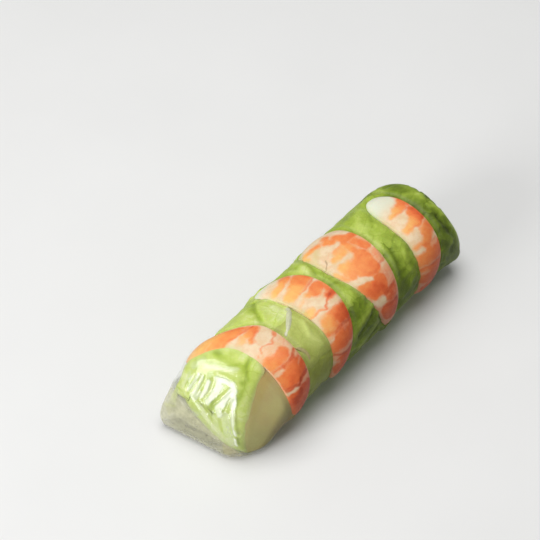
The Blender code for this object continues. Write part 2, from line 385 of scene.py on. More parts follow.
class Finish:
    """A material under construction."""

    def __init__(self, name):
        self.material = bpy.data.materials.new(name)
        self.material.use_nodes = True
        self.tree = self.material.node_tree
        self.tree.nodes.clear()

    def node(self, kind, settings=(), *values, out=0, **named):
        """Adds a node: its settings first, then its sockets by place or by name."""
        added = self.tree.nodes.new("ShaderNode" + kind)
        for key, value in dict(settings).items():
            if key == "stops":
                self.set_stops(added.color_ramp, value)
            else:
                setattr(added, key, value)
        for key, value in [*enumerate(values), *named.items()]:
            self.join(added.inputs[key], value)
        return Wire(self, added.outputs[out]) if added.outputs else None

    def join(self, socket, value):
        if isinstance(value, Wire):
            self.tree.links.new(value.socket, socket)
        elif value is not None:
            socket.default_value = (*value, 1) if socket.type == "RGBA" else value

    def set_stops(self, color_ramp, stops):
        while len(color_ramp.elements) < len(stops):
            color_ramp.elements.new(1.0)
        for element, (position, color) in zip(color_ramp.elements, stops):
            element.position = position
            element.color = (*color, 1)

    def place_mm(self):
        """The place on the piece, in mm."""
        place = self.node("TexCoord", out="Object")
        return self.node("VectorMath", dict(operation="SCALE"), place, Scale=1 / MM)

    def noise(self, place, scale, detail=2.0, stretch=None):
        if stretch:
            place = self.node("VectorMath", dict(operation="MULTIPLY"), place, stretch)
        return self.node("TexNoise", (), Vector=place, Scale=scale, Detail=detail)

    def value(self, name):
        return self.node("Attribute", dict(attribute_name=name), out="Fac")

    def colors(self, amount, *stops):
        return self.node("ValToRGB", dict(stops=stops), amount)

    def blend(self, amount, low, high):
        added = self.tree.nodes.new("ShaderNodeMix")
        added.data_type = "RGBA"
        for key, value in ((0, amount), (6, low), (7, high)):
            self.join(added.inputs[key], value)
        return Wire(self, added.outputs[2])

    def bump(self, height, distance, strength=1.0):
        return self.node("Bump", (), Height=height, Distance=distance, Strength=strength)

    def surface(self, shader):
        self.node("OutputMaterial", (), shader)
        return self.material


# ---------------------------------------------------------------- prawns
# What each prawn's back shows, as strokes: (kind, width in mm, strength, places ...). A place
# is (share of its length, -1 at the edge towards -Y to 1 at the far edge). gold and red shift
# the orange they lie on.
STROKES = {
    "prawn_1": (
        ("orange", 7.0, 0.95, (0.03, -1.0), (0.11, -0.7), (0.17, -0.2)),
        ("orange", 5.0, 0.95, (0.20, 0.2), (0.20, -0.4), (0.17, -1.1)),
        ("flesh", 1.1, 0.55, (0.215, -0.4), (0.215, -1.1)),
        ("orange", 5.4, 0.95, (0.265, 0.2), (0.255, -0.5), (0.25, -1.1)),
        ("orange", 2.6, 0.8, (0.22, 0.45), (0.30, 0.55)),
        ("gold", 8.0, 0.9, (0.02, -0.9), (0.12, -0.6), (0.17, 0.1)),
        ("line", 1.1, 0.7, (0.325, 0.7), (0.315, 0.2), (0.305, -0.1), (0.29, -0.6), (0.275, -1.1)),
        ("orange", 3.4, 0.92, (0.345, 0.55), (0.36, 0.1)),
        ("orange", 2.0, 0.88, (0.37, 0.15), (0.385, -0.1), (0.40, -0.27)),
        ("red", 0.9, 0.5, (0.372, 0.4), (0.385, 0.0), (0.405, -0.25)),
        ("orange", 2.6, 0.62, (0.34, -0.1), (0.36, -0.45)),
        ("gold", 3.0, 0.9, (0.34, -0.1), (0.36, -0.5)),
        ("veil", 2.4, 0.45, (0.31, -0.9), (0.38, -1.0)),
        ("line", 1.3, 0.7, (0.41, 1.0), (0.445, 0.9), (0.465, 0.7)),
        ("line", 0.7, 0.65, (0.465, 0.7), (0.48, 0.45), (0.495, 0.2), (0.485, 0.05),
         (0.468, -0.15), (0.47, -0.3), (0.495, -0.52)),
        ("line", 0.5, 0.3, (0.40, -0.05), (0.43, -0.2), (0.465, -0.12)),
        ("orange", 6.0, 0.32, (0.53, 0.7), (0.53, 0.1), (0.525, -0.7)),
        ("line", 0.6, 0.35, (0.525, 0.9), (0.545, 0.5), (0.55, 0.2)),
        ("line", 0.6, 0.55, (0.492, -0.74), (0.498, -0.78)),
        ("orange", 4.6, 0.92, (0.575, 0.2), (0.585, -0.3), (0.58, -0.95)),
        ("orange", 3.0, 0.7, (0.565, 0.0), (0.545, -0.7)),
        ("line", 1.2, 0.7, (0.61, 0.8), (0.625, 0.3), (0.632, -0.3), (0.628, -0.9)),
        ("orange", 3.2, 0.75, (0.645, 0.4), (0.652, -0.3)),
        ("orange", 6.4, 0.95, (0.69, 0.45), (0.70, -0.3), (0.70, -1.0)),
        ("flesh", 0.9, 0.6, (0.652, -0.45), (0.655, -0.95)),
        ("flesh", 1.2, 0.35, (0.66, 0.85), (0.67, 0.45)),
        ("orange", 7.0, 0.95, (0.83, 0.4), (0.84, -0.6)),
        ("orange", 8.0, 0.95, (0.93, 0.3), (0.93, -0.5)),
        ("line", 1.4, 0.8, (0.735, 0.7), (0.745, 0.15), (0.765, -0.15), (0.755, -0.6),
         (0.76, -1.0)),
        ("flesh", 1.0, 0.7, (0.778, -0.35), (0.782, -0.9)),
        ("red", 3.0, 0.5, (0.80, -0.2), (0.87, -0.9)),
        ("line", 1.0, 0.6, (0.79, -1.0), (0.87, -0.88)),
    ),
    "prawn_2": (
        ("orange", 3.4, 0.9, (0.125, 0.8), (0.165, 0.45), (0.19, 0.2)),
        ("orange", 2.8, 0.88, (0.185, 0.25), (0.205, -0.1), (0.21, -0.6)),
        ("gold", 3.4, 0.9, (0.20, -0.1), (0.21, -0.7)),
        ("veil", 2.6, 0.55, (0.19, -1.0), (0.30, -1.05), (0.46, -1.0)),
        ("line", 0.6, 0.4, (0.20, 0.2), (0.225, -0.1), (0.228, -0.4)),
        ("orange", 2.4, 0.75, (0.205, 0.85), (0.225, 0.4)),
        ("orange", 5.6, 0.95, (0.25, 0.95), (0.265, 0.5), (0.285, 0.1)),
        ("orange", 4.4, 0.88, (0.29, 0.3), (0.305, -0.25), (0.31, -0.55)),
        ("flesh", 0.9, 0.45, (0.232, 0.05), (0.242, -0.7)),
        ("gold", 5.0, 0.95, (0.295, -0.1), (0.31, -0.65)),
        ("line", 0.8, 0.7, (0.315, 0.8), (0.33, 0.4), (0.345, 0.1), (0.34, -0.2)),
        ("orange", 4.6, 0.88, (0.375, 0.6), (0.395, 0.25)),
        ("orange", 2.4, 0.85, (0.385, 0.25), (0.385, -0.05)),
        ("orange", 3.0, 0.8, (0.39, 0.85), (0.44, 0.75)),
        ("flesh", 0.8, 0.5, (0.355, 0.2), (0.352, -0.6)),
        ("orange", 1.3, 0.5, (0.37, 0.0), (0.385, -0.3), (0.405, -0.75), (0.42, -1.0)),
        ("gold", 2.4, 0.9, (0.375, -0.2), (0.405, -0.75), (0.42, -1.0)),
        ("orange", 3.4, 0.92, (0.475, 1.0), (0.47, 0.5)),
        ("red", 2.8, 0.8, (0.475, 1.0), (0.472, 0.55)),
        ("line", 0.9, 0.75, (0.47, 0.6), (0.485, 0.3), (0.51, 0.0), (0.527, -0.08),
         (0.508, -0.35), (0.503, -0.8), (0.492, -1.1)),
        ("orange", 3.4, 0.78, (0.475, -0.65), (0.478, -1.1)),
        ("gold", 4.0, 1.0, (0.475, -0.6), (0.478, -1.1)),
        ("orange", 1.6, 0.5, (0.54, -0.02), (0.57, 0.05)),
        ("orange", 6.0, 0.92, (0.605, 0.8), (0.595, 0.2)),
        ("orange", 5.0, 0.85, (0.585, 0.1), (0.59, -0.5)),
        ("orange", 3.6, 0.75, (0.625, 0.0), (0.63, -0.95)),
        ("red", 5.0, 0.5, (0.61, 0.8), (0.61, 0.25)),
        ("gold", 5.0, 0.75, (0.60, -0.5), (0.62, -1.0)),
        ("line", 1.1, 0.7, (0.66, 0.85), (0.65, 0.2), (0.655, -0.4), (0.64, -1.0)),
        ("orange", 6.6, 0.92, (0.71, 0.55), (0.715, -0.3)),
        ("orange", 5.0, 0.85, (0.72, -0.2), (0.735, -1.0)),
        ("flesh", 1.4, 0.3, (0.672, 0.5), (0.675, 0.1)),
        ("flesh", 1.2, 0.5, (0.685, -0.7), (0.69, -1.0)),
        ("line", 1.2, 0.75, (0.795, 0.7), (0.80, 0.0), (0.795, -0.4), (0.775, -1.0)),
        ("orange", 8.0, 0.95, (0.87, 0.4), (0.87, -0.4)),
        ("flesh", 1.6, 0.5, (0.835, -0.6), (0.84, -1.0)),
    ),
    "prawn_3": (
        ("orange", 2.8, 0.88, (0.165, -0.72), (0.19, -0.5), (0.205, -0.22)),
        ("orange", 1.9, 0.85, (0.155, -0.78), (0.215, -0.84)),
        ("gold", 3.4, 0.8, (0.16, -0.72), (0.21, -0.84)),
        ("veil", 5.0, 0.9, (0.02, -0.3), (0.08, -0.8), (0.14, -1.1)),
        ("veil", 3.4, 0.75, (0.22, -1.0), (0.30, -1.05), (0.42, -1.1)),
        ("veil", 2.4, 0.35, (0.235, -0.5), (0.27, -0.75)),
        ("orange", 3.4, 0.85, (0.20, 0.2), (0.235, 0.02), (0.265, 0.18)),
        ("orange", 3.6, 0.9, (0.255, 0.38), (0.31, 0.55), (0.315, 0.9)),
        ("orange", 3.4, 0.88, (0.28, 0.35), (0.36, 0.3), (0.42, 0.3)),
        ("line", 1.6, 0.4, (0.32, 0.9), (0.316, 0.55)),
        ("orange", 4.2, 0.82, (0.36, 0.6), (0.43, 0.72)),
        ("orange", 3.0, 0.5, (0.36, 0.88), (0.41, 0.92)),
        ("orange", 4.2, 0.68, (0.34, 0.12), (0.34, -0.12)),
        ("orange", 2.8, 0.8, (0.37, 0.05), (0.365, -0.4)),
        ("gold", 4.2, 0.85, (0.36, 0.1), (0.365, -0.4)),
        ("flesh", 1.8, 0.75, (0.29, 0.2), (0.295, -0.15)),
        ("line", 0.8, 0.45, (0.445, 0.85), (0.455, 0.4), (0.46, 0.12)),
        ("orange", 6.8, 0.92, (0.47, 0.28), (0.55, 0.18)),
        ("orange", 6.8, 0.9, (0.48, -0.22), (0.55, -0.12)),
        ("orange", 3.8, 0.88, (0.44, -0.5), (0.52, -0.6)),
        ("orange", 2.4, 0.82, (0.445, -0.85), (0.52, -0.8)),
        ("gold", 3.4, 0.7, (0.435, -0.3), (0.44, -0.85)),
        ("flesh", 1.5, 0.35, (0.415, 0.02), (0.44, -0.12)),
        ("line", 0.8, 0.35, (0.45, -0.48), (0.50, -0.62), (0.535, -0.52)),
        ("orange", 4.4, 0.55, (0.50, 0.75), (0.54, 0.7)),
        ("line", 1.2, 0.55, (0.57, 0.85), (0.575, 0.4), (0.585, 0.1), (0.575, -0.1)),
        ("orange", 5.0, 0.5, (0.64, 0.8), (0.63, 0.3)),
        ("orange", 6.0, 0.93, (0.645, 0.1), (0.64, -0.3), (0.635, -0.7)),
        ("orange", 5.0, 0.9, (0.685, 0.0), (0.68, -0.6)),
        ("orange", 2.2, 0.9, (0.62, -0.7), (0.612, -1.0)),
        ("red", 4.0, 0.5, (0.66, -0.1), (0.66, -0.6)),
        ("flesh", 2.0, 0.8, (0.598, -0.2), (0.572, -0.55), (0.556, -0.9)),
        ("orange", 5.0, 0.78, (0.735, 0.5), (0.74, 0.0)),
        ("orange", 8.0, 0.93, (0.835, 0.3), (0.835, -0.4)),
        ("flesh", 2.6, 0.75, (0.735, -0.3), (0.735, -1.0)),
        ("orange", 1.6, 0.8, (0.75, -0.9), (0.755, -1.0)),
        ("line", 1.4, 0.55, (0.705, 0.75), (0.71, 0.2), (0.715, -0.1)),
        ("line", 1.2, 0.55, (0.79, 0.6), (0.785, 0.0), (0.775, -0.5)),
        ("line", 0.6, 0.35, (0.30, -0.3), (0.335, -0.52)),
        ("vein", 0.5, 0.7, (0.33, -0.6), (0.36, -0.78), (0.38, -1.05)),
    ),
    "prawn_4": (
        ("orange", 3.2, 0.92, (0.145, 1.0), (0.22, 0.95), (0.25, 0.9)),
        ("veil", 2.2, 0.4, (0.04, -0.9), (0.30, -1.05), (0.55, -1.05)),
        ("red", 2.6, 0.5, (0.15, 1.0), (0.25, 0.92)),
        ("orange", 3.8, 0.9, (0.20, 0.8), (0.235, 0.5), (0.24, 0.1)),
        ("orange", 2.4, 0.82, (0.24, 0.3), (0.255, -0.1), (0.25, -0.42)),
        ("gold", 3.4, 0.85, (0.23, 0.1), (0.245, -0.45)),
        ("line", 1.0, 0.45, (0.27, 0.8), (0.275, 0.3), (0.26, -0.2)),
        ("orange", 3.6, 0.95, (0.30, 0.75), (0.36, 0.85), (0.39, 0.7)),
        ("red", 3.2, 0.7, (0.31, 0.72), (0.36, 0.8), (0.39, 0.6)),
        ("orange", 5.2, 0.9, (0.335, 0.6), (0.385, 0.3)),
        ("orange", 3.2, 0.88, (0.38, 0.3), (0.385, -0.15), (0.395, -0.48)),
        ("gold", 3.2, 0.85, (0.37, 0.1), (0.385, -0.45)),
        ("line", 0.9, 0.55, (0.40, 0.75), (0.425, 0.3), (0.415, 0.0), (0.40, -0.4)),
        ("flesh", 1.4, 0.5, (0.265, 1.0), (0.285, 0.88)),
        ("flesh", 1.5, 0.4, (0.42, 0.92), (0.44, 0.7)),
        ("orange", 5.2, 0.8, (0.47, 0.75), (0.48, 0.3)),
        ("orange", 4.2, 0.88, (0.50, 0.3), (0.53, -0.05)),
        ("orange", 1.9, 0.82, (0.53, 0.0), (0.52, -0.4), (0.515, -0.72)),
        ("line", 1.0, 0.55, (0.55, 0.65), (0.55, 0.1), (0.535, -0.3)),
        ("orange", 6.2, 0.92, (0.62, 0.6), (0.61, 0.0)),
        ("orange", 5.2, 0.88, (0.62, -0.1), (0.61, -0.9)),
        ("flesh", 1.4, 0.4, (0.575, 0.65), (0.575, 0.2)),
        ("line", 1.0, 0.55, (0.685, 0.6), (0.68, 0.0), (0.67, -0.8)),
        ("orange", 7.2, 0.92, (0.75, 0.4), (0.74, -0.3), (0.72, -0.9)),
        ("flesh", 1.6, 0.45, (0.71, -0.5), (0.70, -1.0)),
        ("orange", 7.0, 0.9, (0.86, 0.3), (0.86, -0.3)),
    ),
}
STROKE_SOFTNESS = dict(orange=2.6, gold=4.2, red=2.2, flesh=1.5, line=0.9, vein=0.5, veil=3.0)
BLUSH, BLUSH_SHARE = 0.5, (0.5, 0.68)      # how orange the whole tail side is, and from where
STROKE_WANDER = 0.5             # mm by which strokes wander
CREASE = 0.13 * MM
SHOULDER = 3.2                  # power of a prawn's rounded back: higher is squarer


def distance_to_path(x, y, path):
    """Distance from each place to a path of straight stretches."""
    nearest = np.full(len(x), np.inf)
    for (ax, ay), (bx, by) in zip(path, path[1:]):
        dx, dy = bx - ax, by - ay
        along = np.clip(((x - ax) * dx + (y - ay) * dy) / (dx * dx + dy * dy), 0, 1)
        nearest = np.minimum(nearest, np.hypot(x - ax - along * dx, y - ay - along * dy))
    return nearest


def painted(strokes, x, y, scale):
    """What the strokes leave at each place, by kind. scale turns a stroke's places into mm."""
    amounts = {kind: np.zeros(len(x)) for kind in STROKE_SOFTNESS}
    for kind, width, strength, *path in strokes:
        away = distance_to_path(x, y, [(px * scale[0], py * scale[1]) for px, py in path])
        mask = strength * ramp(away, width / 2 + STROKE_SOFTNESS[kind] / 2,
                               width / 2 - STROKE_SOFTNESS[kind] / 2)
        if kind == "flesh":
            amounts["orange"] *= 1 - mask
        amounts[kind] = np.maximum(amounts[kind], mask)
    return amounts


def wander(points, seed):
    return waves(points, 2.2 * MM, seed) + 0.45 * waves(points, 0.9 * MM, seed + 7)


def prawn_piece(name, seed, finish):
    prawn = PRAWNS[name]
    start, end = prawn_turns(prawn)
    mesh = ball(*PRAWN_GRID)
    share, phi = share_and_turn(mesh)
    s = mix(share, (1 - np.cos(math.pi * share)) / 2, 0.3)
    turn = mix(start, end, s)
    across, up = np.cos(phi), np.sin(phi)
    body = blunt_ends(s, PRAWN_BLUNTNESS)
    y = prawn_middle(prawn, turn) + prawn_half_width(prawn, s) * across
    film = section_radius(turn, y) + prawn_bulge(prawn, turn, y)
    edge = film - PRAWN_EDGE_DEPTH
    shoulder = np.maximum(1 - np.abs(across) ** SHOULDER, 0) ** (1 / SHOULDER) * body
    back = edge + (PRAWN_EDGE_DEPTH - PRAWN_DEPTH) * np.where(up > 0, shoulder, 0)
    cut = edge - PRAWN_SINK * np.maximum(-up, 0) ** 0.4 * body

    def at(radius):
        return np.stack([np.sin(turn) * radius, y, AXIS_HEIGHT + np.cos(turn) * radius], 1)

    points = at(np.where(up > 0, back, cut))
    length = (end - start) * HALF_HEIGHT / MM
    x_mm = s * length + STROKE_WANDER * wander(points, seed)
    y_mm = 0.9 * across * prawn["half"] + STROKE_WANDER * wander(points, seed + 1)
    amounts = painted(STROKES[name], x_mm, y_mm, (length, prawn["half"]))
    for kind in amounts:
        amounts[kind] *= up > 0
    groove = CREASE * np.clip(amounts["line"] - 0.2, 0, 1)
    soft = 0.10 * MM * waves(points, 4 * MM, seed + 2)
    points = at(np.where(up > 0, back - groove + (soft - 0.05 * MM) * up, cut))
    place(mesh, kept_in(points, FILM + 0.12 * MM))
    blush = BLUSH * ramp(s, *BLUSH_SHARE) * (1 - amounts["flesh"])
    orange = np.maximum(amounts["orange"], blush)
    # deeper, darker red towards the far edge and the tail side: partly the shell's colour, partly
    # painted shade where these turn from the light
    warm = 0.40 + 0.14 * across + 0.36 * ramp(s, 0.45, 0.85)
    warm += 0.30 * amounts["red"] - 0.27 * amounts["gold"]
    rim = ramp(np.abs(across), 0.80, 1.0) * (up > 0) * (1 - 0.85 * orange)
    return piece(name + "_look", mesh, finish, "prawn", [name], orange=orange, warm=warm,
                 rim=rim, line=amounts["line"], vein=amounts["vein"], veil=amounts["veil"],
                 head=ramp(s, *prawn["pale"]))


# from golden to deep red; the deep reds stand partly for painted shade
PRAWN_TONES = (
    (0.00, (0.960, 0.560, 0.160)),
    (0.35, (0.940, 0.330, 0.090)),
    (0.60, (0.870, 0.190, 0.050)),
    (0.80, (0.700, 0.100, 0.025)),
    (1.00, (0.450, 0.050, 0.012)),
)


def prawn_finish():
    f = Finish("cooked prawn")
    place = f.place_mm()
    blotches = f.noise(place, 0.45, 3)
    fibres = f.noise(place, 1.8, 3, stretch=(1, 0.35, 1))
    flesh = f.blend(blotches.step(0.35, 0.65), (0.83, 0.59, 0.35), (0.88, 0.69, 0.46))
    flesh = f.blend(f.value("head"), flesh, (0.78, 0.79, 0.62))
    orange = f.value("orange") * (blotches * 0.5 + 0.78) + (fibres - 0.5) * 0.30
    # the shell's red, with painted shade on its far edge and tail side
    warm = f.value("warm") + (blotches - 0.5) * 0.35 + (fibres - 0.5) * 0.10
    tone = f.colors(warm, *PRAWN_TONES)
    color = f.blend(orange.step(0.04, 0.90), flesh, tone)
    line = f.value("line") * (fibres * 0.6 + 0.7)
    color = f.blend(line.step(0.0, 1.0), color, f.colors(warm + 0.18, *PRAWN_TONES))
    color = f.blend(f.value("vein").step(0.1, 0.9) * 0.7, color, (0.32, 0.16, 0.07))
    color = f.blend(f.value("rim") * (blotches * 0.35), color, (0.60, 0.58, 0.25))
    color = f.blend(f.value("veil") * (blotches * 0.9 + 0.35), color, (0.44, 0.54, 0.13))
    height = fibres * 0.6 + blotches * 0.4
    shader = f.node("BsdfPrincipled", dict(subsurface_method="RANDOM_WALK"),
                    **{"Base Color": color, "Roughness": blotches * 0.15 + 0.4,
                       "Specular IOR Level": 0.3,
                       "Subsurface Weight": 0.12, "Subsurface Radius": (1, 0.35, 0.2),
                       "Subsurface Scale": 0.0012,
                       "Normal": f.bump(height, 0.12 * MM, 0.6)})
    return f.surface(shader)


# ---------------------------------------------------------------- lettuce
LEAF_TONES = (
    (0.00, (0.012, 0.017, 0.003)),
    (0.20, (0.060, 0.088, 0.009)),
    (0.45, (0.190, 0.270, 0.022)),
    (0.70, (0.390, 0.510, 0.065)),
    (0.88, (0.570, 0.680, 0.160)),
    (1.00, (0.700, 0.770, 0.340)),
)


KHAKI_TONES = (
    (0.10, (0.22, 0.16, 0.05)),
    (0.35, (0.46, 0.33, 0.12)),
    (0.60, (0.50, 0.45, 0.16)),
    (0.85, (0.64, 0.64, 0.25)),
)


def lettuce_finish():
    f = Finish("lettuce leaf")
    place = f.place_mm()
    mottle = f.noise(place, 0.28, 4)
    fine = f.noise(place, 1.4, 3)
    grain = f.node("UVMap", dict(uv_map="leaf"))
    bent = f.node("VectorMath", dict(operation="ADD"), grain,
                  f.node("VectorMath", dict(operation="SCALE"),
                         f.node("TexNoise", (), Vector=place, Scale=0.25, out="Color"), Scale=2.4))
    big = f.node("TexVoronoi", dict(feature="DISTANCE_TO_EDGE", voronoi_dimensions="2D"),
                 Vector=bent, Scale=0.16)
    small = f.node("TexVoronoi", dict(feature="DISTANCE_TO_EDGE", voronoi_dimensions="2D"),
                   Vector=bent, Scale=0.55)
    net = big.step(0.05, 0.0) * 0.8 + small.step(0.07, 0.0) * 0.35
    veins = net * mottle.step(0.35, 0.6)
    tone = f.value("tone") + (mottle - 0.5) * 0.30 + (fine - 0.5) * 0.12 - veins * 0.10
    color = f.colors(tone, *LEAF_TONES)
    color = f.blend(f.value("khaki"), color, f.colors(f.value("tone") + (fine - 0.5) * 0.24,
                                                      *KHAKI_TONES))
    rough = 1 - f.value("khaki") * 0.85
    height = (fine * 0.35 + mottle * 0.5 + net * 0.35) * rough
    shader = f.node("BsdfPrincipled", (),
                    **{"Base Color": color, "Roughness": mottle * 0.2 + 0.35,
                       "Subsurface Weight": 0.08, "Subsurface Radius": (0.5, 1, 0.2),
                       "Subsurface Scale": 0.0008, "Specular IOR Level": 0.12,
                       "Normal": f.bump(height, 0.16 * MM, 0.7)})
    return f.surface(shader)


def prawn_sink(turn, y, skip=None):
    """How much deeper the leaves lie beside and under the prawns."""
    deeper = np.zeros(len(turn))
    for name, prawn in PRAWNS.items():
        if name == skip:
            continue
        start, end = prawn_turns(prawn)
        s = np.clip((turn - start) / (end - start), 0, 1)
        inside = prawn_half_width(prawn, s) - np.abs(y - prawn_middle(prawn, turn))
        sink = BED_DEPTH * ramp(inside, 0.25 * MM, 0.8 * MM)
        along = ramp(turn, start - 0.15, start) * ramp(turn, end + 0.15, end)
        valley = VALLEY * ramp(inside, -2.5 * MM, 0.0) * along
        deeper = np.maximum(deeper, np.maximum(sink, valley))
    return deeper


TIP_SPAN = (-19.5, 15.6)        # the leaf's tip on the folded face, from foot to top
TIP_LOBE = 22                   # how far its outer side swells out


def tip_left(b):
    """The tip's outer side, a broad lobe that is fullest a little below its middle."""
    share = np.clip((b - TIP_SPAN[0]) / (TIP_SPAN[1] - TIP_SPAN[0]), 0, 1)
    return mix(10, -1, share) - TIP_LOBE * np.sin(math.pi * share ** 0.8) ** 0.8


def tip_right(b):
    """The tip's inner side, which runs straight up beside the ridge and rounds over on top."""
    return 10.4 - 0.12 * b - 6 * ramp(b, 10.5, 17)


def tip_khaki(a, b):
    return ramp(a, tip_right(b) - 1.3, tip_right(b) + 0.2)


# Each leaf: the rays that lay it out, its span up its chart (bottom, top) and across it
# (left, right), its tone, and soft spots and folds on it in the chart's own units.
LEAVES = {
    "leaf_tip": dict(rays=FOLDED_FACE.rays, span=TIP_SPAN, left=tip_left, right=tip_right,
        depth=OVER_DEPTH, over="prawn_1", tone=0.90, khaki=tip_khaki, seed=3, wave=0.5, crumple=0.15,
        # the darker spots beside the ridge, from a 3.6 to 9, are painted shade where the leaf turns
        # over the ridge
        spots=((-7, 9.5, 2, 1.2, -0.3), (-4, 10, 2.5, 2, -0.12), (-6, 2, 1.2, 1.6, -0.2),
               (2, 9, 4, 1.4, -0.12), (5, 5, 1, 1, -0.25), (-12.5, -6, 1.2, 3, -0.22),
               (-1.8, -8, 1.3, 3, -0.22), (6.2, 2, 1, 6, -0.2), (-12, 4, 3, 3, -0.08),
               (9, 6, 1.2, 9, -0.1), (3.6, 11, 1, 4, -0.2)),
        folds=((0.3, 0.9, (-9, 3.5), (-3, 6), (3, 9)), (-0.3, 0.7, (-8, 5.2), (-2, 7.4), (2, 10)),
               (-0.3, 0.8, (3, 13.5), (4.2, 10), (6.6, 6.5)), (0.35, 0.9, (-14, -3), (-12.5, -9)),
               (0.3, 0.9, (-6, -9), (-2, -13), (4, -16)))),
    "leaf_side": dict(rays=SIDE_FACE.rays, span=(-18.5, 19), left=-13, right=15, depth=0.72 * MM,
        tone=0.50, khaki=1.0, seed=5, smooth=True, wave=0.3, crumple=0.0,
        spots=((3, 16, 6, 5, -0.22), (1, 8, 6, 5, -0.06), (6, 0, 6, 5, 0.05), (-4, -11, 6, 6, 0.18),
               (9, -10, 5, 6, -0.12))),
    "leaf_fold_left": dict(span=(-60, -28), left=-128, right=-58, depth=0.9 * MM, tone=0.86, seed=29,
        wave=0.6),
    "leaf_band_1": dict(span=(-36, -10), left=-112, right=6, tone=0.84, seed=7,
        spots=((-45, -24, 14, 2.0, -0.15), (-20, -20, 16, 3.5, 0.10), (-70, -22, 20, 5, -0.2)),
        folds=((0.22, 1.5, (-8, -16.1), (6, -21)), (-0.45, 0.8, (-50, -19.5), (-30, -24), (-17, -26)),
               (0.3, 1.5, (-58, -23), (-36, -27)))),
    "leaf_band_1_right": dict(span=(-36, -12), left=-14, right=66, tone=0.70, khaki=0.4, seed=9,
        smooth=True, depth=0.8 * MM,
        spots=((40, -19.5, 12, 2.5, 0.12), (8, -22, 10, 4, -0.05), (50, -26, 8, 4, -0.12)),
        folds=((0.3, 1.0, (20, -17), (36, -19), (52, -17.5)),
               (0.22, 1.5, (-8, -16.1), (8, -20), (19, -25.5)), (0.2, 1.2, (35, -26.5), (56, -24.9)))),
    "leaf_band_1_low": dict(span=(-38, -8), left=50, right=128, tone=0.58, seed=11, depth=1.1 * MM,
        khaki=0.3,
        spots=((75, -22, 14, 5, -0.1),)),
    "leaf_band_2": dict(span=(-16, 14), left=-112, right=8, tone=0.70, seed=13, crumple=0.25,
        spots=((-50, 2, 16, 4, -0.05), (-30, -1, 10, 2.5, 0.12)),
        folds=((0.3, 1.2, (-60, 4), (-30, 1), (-10, -1.5)), (-0.3, 0.8, (-40, 5), (-14, 1.5)))),
    "leaf_band_2_mid": dict(span=(-8, 14), left=-4, right=46, tone=0.62, seed=15, depth=0.5 * MM,
        crumple=0.25,
        spots=((28, 2, 10, 2.5, 0.14), (10, 3, 5, 2, 0.05)),
        folds=((-0.25, 0.7, (10, 0), (16, 5)),)),
    "leaf_band_2_low": dict(span=(-14, 18), left=36, right=130, tone=0.42, seed=17, depth=0.75 * MM,
        crumple=0.6,
        spots=((52, 2, 9, 4, -0.06), (66, 5, 6, 4, 0.1), (82, 4, 8, 5, -0.2), (76, -3, 4, 3, 0.1)),
        folds=((0.45, 1.2, (72, -4), (62, 3), (58, 8)), (-0.5, 1.0, (80, -2), (70, 5), (66, 9)),
               (0.4, 1.4, (96, -2), (84, 6)), (-0.4, 1.2, (104, 0), (92, 9)))),
    "leaf_band_3": dict(span=(9, 46), left=-116, right=30, tone=0.64, seed=19, crumple=0.25,
        spots=((-12, 28, 14, 3.5, 0.12), (-50, 30, 14, 6, -0.08), (14, 26, 8, 2, 0.2)),
        folds=((0.3, 1.2, (-40, 34), (-20, 28), (0, 26)), (-0.25, 0.8, (-30, 37), (-8, 31)))),
    "leaf_band_3_low": dict(span=(14, 46), left=6, right=130, tone=0.47, seed=21, depth=0.95 * MM,
        crumple=0.4,
        spots=((22, 25, 12, 1.6, 0.22), (40, 30, 12, 2.5, 0.12), (66, 27, 14, 5, -0.08),
               (88, 26, 14, 6, -0.2)),
        folds=((-0.4, 0.9, (10, 30), (30, 27.5), (60, 24)), (0.3, 1.5, (26, 33), (56, 29), (84, 27)))),
    "leaf_far": dict(span=(38, 76), left=-150, right=34, tone=0.35, seed=23, wave=1.6, depth=0.7 * MM,
        crumple=0.6,
        spots=((-42, 47, 10, 3.5, 0.3), (-40, 54, 12, 3, -0.22), (5, 52, 12, 3, 0.08)),
        folds=((0.5, 1.6, (-50, 52), (-20, 55), (8, 53.5)),
               (-0.6, 1.4, (-46, 57), (-14, 58), (14, 57)), (0.4, 1.2, (-10, 50), (4, 55), (10, 60)))),
    "leaf_far_low": dict(span=(38, 76), left=12, right=160, tone=0.34, seed=25, wave=1.8,
        depth=0.6 * MM, crumple=0.8,
        spots=((40, 53, 16, 2.5, 0.14), (72, 54, 12, 3, 0.12), (58, 49, 14, 2.5, -0.12),
               (90, 52, 14, 4, -0.15)),
        folds=((0.5, 1.5, (14, 54), (40, 55), (76, 57)), (-0.55, 1.3, (20, 50), (48, 51.5), (80, 53)),
               (0.45, 1.3, (60, 47), (74, 52), (96, 56)), (-0.4, 1.0, (30, 56), (36, 60), (60, 62)))),
    "leaf_below_tip": dict(span=(-46, -30), left=-70, right=40, depth=1.25 * MM, tone=0.78, seed=31),
    "leaf_far_under": dict(span=(36, 76), left=125, right=245, depth=0.95 * MM, tone=0.36, seed=33,
        wave=1.2, crumple=0.4),
    "leaf_under": dict(span=(-52, 62), left=108, right=256, tone=0.5, seed=27, depth=1.0 * MM,
        wave=1.5, smooth=True, grid=(70, 120)),
}
LEAF_GRID = (110, 64)           # how finely each piece is divided: around or across, then along
CORE_GRID = (110, 220)
PRAWN_GRID = (132, 240)
STRAND_GRID = (24, 60)
FILM_GRID = (190, 350)
FILM_INSIDE_GRID = (100, 200)
FOLD_GRID = (100, 60)
DEGREE = HALF_HEIGHT / MM * math.pi / 180      # how many mm a degree of turn is


